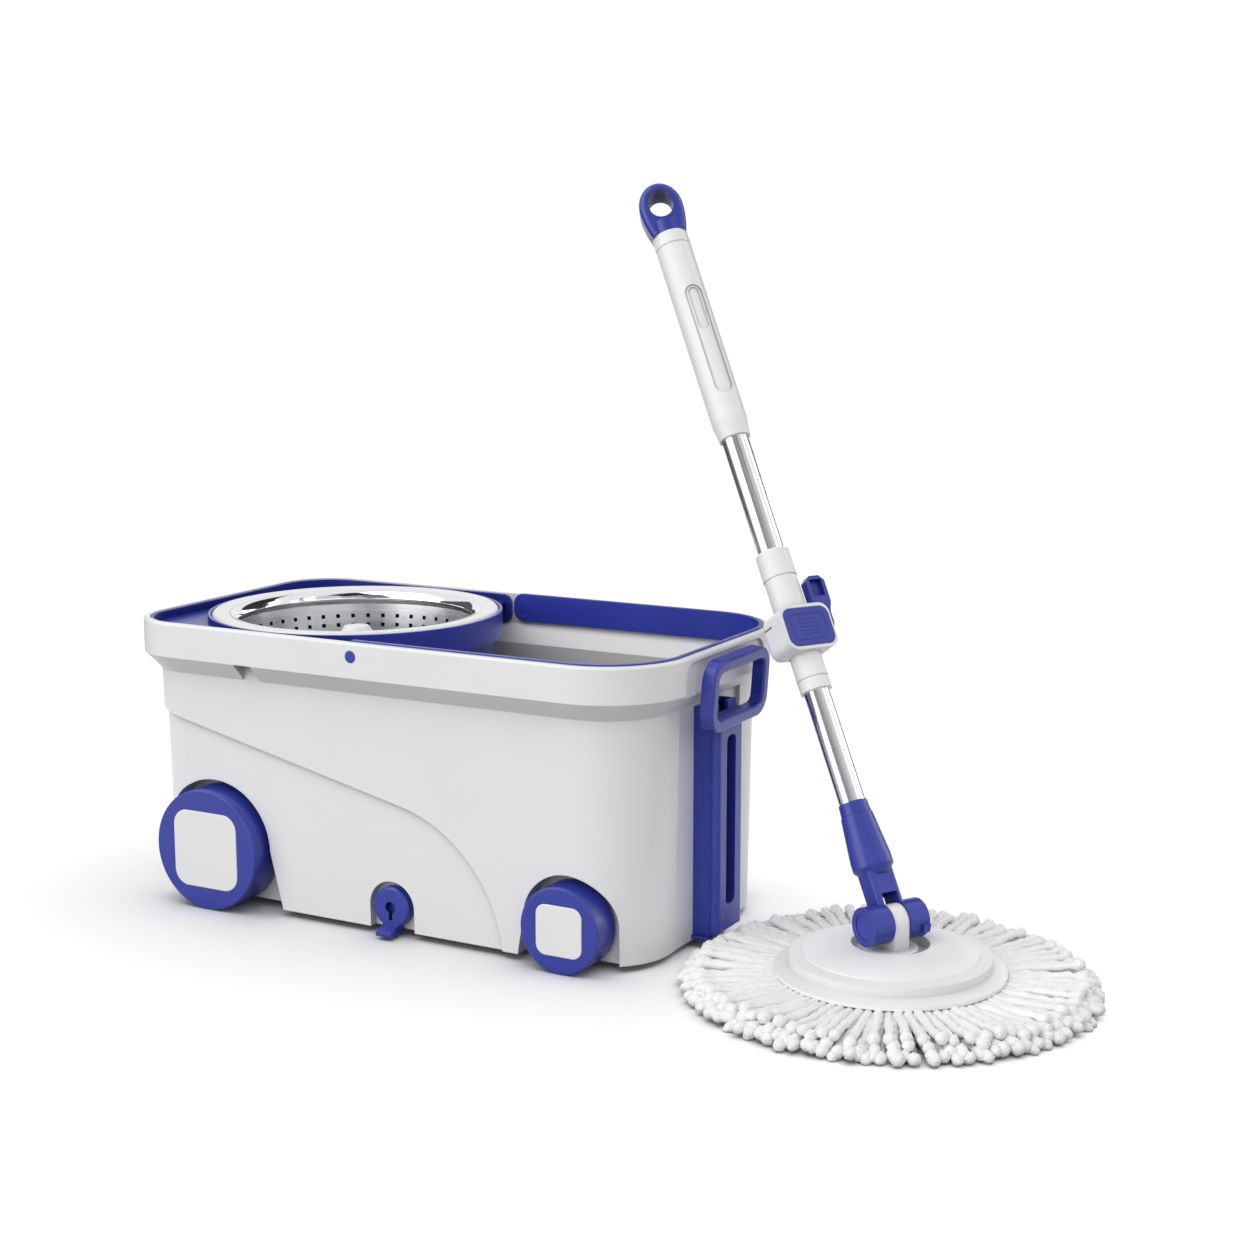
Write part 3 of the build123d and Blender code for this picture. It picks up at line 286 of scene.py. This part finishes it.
bpy.ops.object.select_all(action="DESELECT")
bpy.ops.mesh.primitive_plane_add(size=1)
padBorder = bpy.context.object
padBorder.name = "padBorder"
bpy.ops.object.mode_set(mode="EDIT")
bpy.ops.mesh.select_all(action="SELECT")
bpy.ops.transform.resize(value=(thumbPad["wide"] * mm, thumbPad["tall"] * mm, 1))
bpy.ops.mesh.bevel(offset=thumbPad["corner"] * mm, segments=thumbPad["cornerSteps"], affect="VERTICES")
bpy.ops.mesh.select_all(action="SELECT")
bpy.ops.mesh.inset(thickness=thumbPad["line"] * mm)
bpy.ops.mesh.delete(type="FACE")
bpy.ops.mesh.select_all(action="SELECT")
bpy.ops.mesh.extrude_region_move(TRANSFORM_OT_translate={"value": (0, 0, thumbPad["proud"] * mm)})
bpy.ops.mesh.select_all(action="SELECT")
bpy.ops.mesh.normals_make_consistent(inside=False)
bpy.ops.object.mode_set(mode="OBJECT")

bpy.ops.object.select_all(action="DESELECT")
bpy.ops.mesh.primitive_cube_add(size=1)
rib = bpy.context.object
bpy.ops.object.mode_set(mode="EDIT")
bpy.ops.mesh.select_all(action="SELECT")
ribLong, ribWide = thumbPad["rib"]
bpy.ops.transform.resize(value=(ribLong * mm, ribWide * mm, 2 * thumbPad["proud"] * mm))
bpy.ops.object.mode_set(mode="OBJECT")
softenEdges(rib, thumbPad["edge"], thumbPad["edgeSteps"])
bpy.ops.object.select_all(action="DESELECT")
for i in range(thumbPad["ribs"]):
    fromMiddle = (i - (thumbPad["ribs"] - 1) / 2) * thumbPad["ribPitch"] * mm
    copyOf(rib).data.transform(Matrix.Translation((0, fromMiddle, 0)))
bpy.ops.object.join()
padRibs = bpy.context.object
padRibs.name = "padRibs"
bpy.data.objects.remove(rib)

for piece in (padBorder, padRibs):
    piece.data.transform(onPad)
    piece.data.materials.append(finishes["blue"])
    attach(piece, "upper_pole")
print("thumb pad ribbed")


# microfibre fringe: one chenille strand along +X, from its root to the knob at its tip, copied round in layers
fringe = {"strandsInLayer": 78, "sides": 6, "rootUnderBrim": 6,
          "rings": [(0, 3.0), (7, 3.8), (15, 2.9), (23, 3.9), (31, 3.0), (39, 3.9), (47, 3.0), (55, 3.8), (62, 2.6),
                    (67.5, 4.6), (72, 4.5), (75, 2.0)], "knobAt": 60, "shift": 3.0, "lift": 2.6,
          "layers": [{"root": 10.0, "tip": 13.0, "short": 11, "start": 0.0},
                     {"root": 8.2, "tip": 8.6, "short": 7, "start": 0.5},
                     {"root": 6.2, "tip": 6.2, "short": 3, "start": 0.25},
                     {"root": 4.4, "tip": 4.1, "short": 0, "start": 0.75}],
          "sway": 2.4, "lengthSpread": 0.05, "bend": 0.8, "bendFrom": 15, "bendWave": (45, 80),
          "bulge": 0.12, "girth": 0.10, "floor": 0.3, "seed": 11}
backing = {"inner": 64, "outer": 77, "low": 1.5, "high": 12.6, "sides": 72, "edge": 1.2, "edgeSteps": 2,
           "flat": 0.9, "smooth": 40}

random.seed(fringe["seed"])
plateLow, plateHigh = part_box("mop_plate")
fringeLow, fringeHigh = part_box("mop_fringe")
mopAxis = (plateLow + plateHigh) / 2
mopAxis.z = 0
strandRoot = (plateHigh.x - plateLow.x) / 2 - fringe["rootUnderBrim"] * mm
strandReach = (fringeHigh.x - fringeLow.x) / 2

bpy.ops.object.select_all(action="DESELECT")
bpy.ops.mesh.primitive_circle_add(vertices=fringe["sides"], radius=fringe["rings"][0][1] * mm, fill_type="NGON",
                                  rotation=(0, math.radians(90), 0))
bpy.ops.object.transform_apply(rotation=True)
strand = bpy.context.object
bpy.ops.object.mode_set(mode="EDIT")
bpy.ops.mesh.select_all(action="SELECT")
for (along, thick), (nextAlong, nextThick) in zip(fringe["rings"], fringe["rings"][1:]):
    bpy.ops.mesh.extrude_region_move(TRANSFORM_OT_translate={"value": ((nextAlong - along) * mm, 0, 0)})
    bpy.ops.transform.resize(value=(1, nextThick / thick, nextThick / thick), center_override=(nextAlong * mm, 0, 0))
bpy.ops.mesh.select_all(action="SELECT")
bpy.ops.mesh.normals_make_consistent(inside=False)
bpy.ops.object.mode_set(mode="OBJECT")
bpy.ops.object.shade_smooth()

bpy.ops.object.select_all(action="DESELECT")
strandLength = fringe["rings"][-1][0] * mm
for layer in fringe["layers"]:
    span = strandReach - layer["short"] * mm - strandRoot
    slope = math.atan2((layer["root"] - layer["tip"]) * mm, span)
    for i in range(fringe["strandsInLayer"]):
        copy = copyOf(strand)
        around = math.tau * (i + layer["start"]) / fringe["strandsInLayer"]
        sway = math.radians(random.uniform(-fringe["sway"], fringe["sway"]))
        lift = slope + math.radians(random.uniform(-fringe["lift"], fringe["lift"]))
        shift = random.uniform(-fringe["shift"], fringe["shift"]) * mm
        bendStart = random.uniform(0, math.tau)
        bendWave = random.uniform(*fringe["bendWave"]) * mm
        girth = 1 + random.uniform(-fringe["girth"], fringe["girth"])
        for ring in range(0, len(copy.data.vertices), fringe["sides"]):
            swell = girth * (1 + random.uniform(-fringe["bulge"], fringe["bulge"]))
            for vertex in copy.data.vertices[ring:ring + fringe["sides"]]:
                grow = min(1, vertex.co.x / (fringe["bendFrom"] * mm))
                bend = math.sin(bendStart + math.tau * vertex.co.x / bendWave) * grow
                vertex.co.y = vertex.co.y * swell + bend * fringe["bend"] * mm
                vertex.co.z *= swell
                if 0 < vertex.co.x < fringe["knobAt"] * mm:
                    vertex.co.x += shift
        stretch = span / strandLength * (1 - random.uniform(0, fringe["lengthSpread"]))
        copy.data.transform(Matrix.Translation(mopAxis) @ Matrix.Rotation(around, 4, "Z")
                            @ Matrix.Translation((strandRoot, 0, layer["root"] * mm)) @ Matrix.Rotation(sway, 4, "Z")
                            @ Matrix.Rotation(lift, 4, "Y") @ Matrix.Rotation(random.uniform(0, math.tau), 4, "X")
                            @ Matrix.Diagonal((stretch, 1, 1, 1)))
        for vertex in copy.data.vertices:
            vertex.co.z = max(vertex.co.z, fringe["floor"] * mm)
bpy.ops.object.join()
strands = bpy.context.object
strands.name = "fringeStrands"
bpy.data.objects.remove(strand)

# the ring that the strands are sewn to, up inside the plate
bpy.ops.object.select_all(action="DESELECT")
backingMiddle = Vector((0, 0, (backing["high"] + backing["low"]) / 2 * mm))
bpy.ops.mesh.primitive_cylinder_add(vertices=backing["sides"], radius=backing["outer"] * mm,
                                    depth=(backing["high"] - backing["low"]) * mm, location=mopAxis + backingMiddle)
bpy.ops.object.transform_apply(location=True)
ring = bpy.context.object
ring.name = "fringeBacking"
bpy.ops.object.mode_set(mode="EDIT")
bpy.ops.mesh.select_all(action="DESELECT")
mesh = bmesh.from_edit_mesh(ring.data)
for face in mesh.faces:
    face.select = abs(face.normal.z) > backing["flat"]
bmesh.update_edit_mesh(ring.data)
bpy.ops.mesh.inset(thickness=(backing["outer"] - backing["inner"]) * mm)
bpy.ops.mesh.bridge_edge_loops()
bpy.ops.mesh.select_all(action="SELECT")
bpy.ops.mesh.normals_make_consistent(inside=False)
bpy.ops.object.mode_set(mode="OBJECT")
softenEdges(ring, backing["edge"], backing["edgeSteps"])
bpy.ops.object.shade_smooth_by_angle(angle=math.radians(backing["smooth"]))

for piece in (strands, ring):
    piece.data.materials.clear()
    piece.data.materials.append(finishes["microfibre"])
    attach(piece, "mop_head")
    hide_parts("mop_fringe")
print("fringe sewn on:", len(fringe["layers"]) * fringe["strandsInLayer"], "strands")


# studio: an even white sweep, a broad soft key from the front left, and flags for the metal and the gloss to mirror
studio = {"floorSize": 160, "floor": "949494", "shownFloor": 1.16, "world": 0.31, "shownWorld": 1.0,
          "flagsFace": (0.3, 0, 0.3)}
lamps = {"key": {"energy": 2.65, "from": (-0.25, -0.76, 0.56), "spread": 90, "lights": "set"},
         "fill": {"energy": 0.43, "from": (0.85, -0.3, 0.43), "spread": 70, "lights": "set"},
         "rear": {"energy": 1.3, "from": (0.4, 0.9, 0.3), "spread": 60, "lights": "set"},
         "sweep": {"energy": 2.0, "from": (0.05, 0.22, 0.97), "spread": 90, "lights": "paper"}}
flags = {"left": {"place": (-1.1, 0.1, 0.25), "size": (1.3, 1.0), "tone": "5A5A5C"},
         "front": {"place": (0.24, -1.2, 1.06), "size": (0.76, 1.4), "tone": "808082"},
         "frontRight": {"place": (0.77, -0.93, 1.27), "size": (0.7, 1.4), "tone": "B4B4B6"},
         "rightHigh": {"place": (1.15, -0.46, 1.33), "size": (0.7, 1.4), "tone": "DCDCDE"},
         "right": {"place": (0.75, 1.45, 0.5), "size": (0.55, 1.4), "tone": "303032"},
         "back": {"place": (0.05, 0.85, 0.77), "size": (0.7, 0.7), "tone": "2A2A2C"},
         "top": {"place": (0.32, -0.41, 1.37), "size": (0.6, 0.6), "tone": "202022"}}


def seenOrMirrored(tree):
    # 1 for what the camera or a mirror sees, 0 for what only lights the set
    path = addNode(tree, "ShaderNodeLightPath")
    shown = addNode(tree, "ShaderNodeMath", {"operation": "MAXIMUM"},
                    {0: path.outputs["Is Camera Ray"], 1: path.outputs["Is Glossy Ray"]})
    return shown.outputs[0]


bpy.ops.object.select_all(action="DESELECT")
bpy.ops.mesh.primitive_plane_add(size=studio["floorSize"])
floor = bpy.context.object
floor.name = "floor"
material, tree, out, _ = newMaterial("paperSweep")
tone = addNode(tree, "ShaderNodeMix",
               {"data_type": "RGBA", 6: colour(studio["floor"]), 7: (*[studio["shownFloor"]] * 3, 1)},
               {0: seenOrMirrored(tree)})
paper = addNode(tree, "ShaderNodeBsdfDiffuse", None, {"Color": tone.outputs[2]})
tree.links.new(paper.outputs[0], out.inputs["Surface"])
floor.data.materials.append(material)

world = bpy.data.worlds.new("studio")
bpy.context.scene.world = world
world.use_nodes = True
tree = world.node_tree
tree.nodes.clear()
out = addNode(tree, "ShaderNodeOutputWorld")
level = addNode(tree, "ShaderNodeMapRange", {3: studio["world"], 4: studio["shownWorld"]}, {0: seenOrMirrored(tree)})
sky = addNode(tree, "ShaderNodeBackground", {"Color": (1, 1, 1, 1)}, {"Strength": level.outputs[0]})
tree.links.new(sky.outputs[0], out.inputs["Surface"])

# the paper has a lamp of its own, high and a little behind, so that its shadow stays pale and falls forward
reach = {"paper": bpy.data.collections.new("paper"), "set": bpy.data.collections.new("allButPaper")}
for group in reach.values():
    group.objects.link(floor)
reach["set"].collection_objects[0].light_linking.link_state = "EXCLUDE"

for name, lamp in lamps.items():
    bpy.ops.object.light_add(type="SUN")
    light = bpy.context.object
    light.name = name
    light.rotation_euler = Vector(lamp["from"]).to_track_quat("Z", "Y").to_euler()
    light.data.energy = lamp["energy"]
    light.data.angle = math.radians(lamp["spread"])
    light.light_linking.receiver_collection = reach[lamp["lights"]]

for name, flag in flags.items():
    material, tree, out, _ = newMaterial(name + "FlagCloth")
    cloth = addNode(tree, "ShaderNodeEmission", {"Color": colour(flag["tone"])})
    tree.links.new(cloth.outputs[0], out.inputs["Surface"])
    bpy.ops.mesh.primitive_plane_add(size=1, location=flag["place"])
    card = bpy.context.object
    card.name = "flag" + name.capitalize()
    card.scale = (*flag["size"], 1)
    facing = Vector(studio["flagsFace"]) - Vector(flag["place"])
    card.rotation_euler = facing.to_track_quat("Z", "Y").to_euler()
    card.data.materials.append(material)
    card.visible_camera = card.visible_diffuse = card.visible_shadow = False
print("studio set")
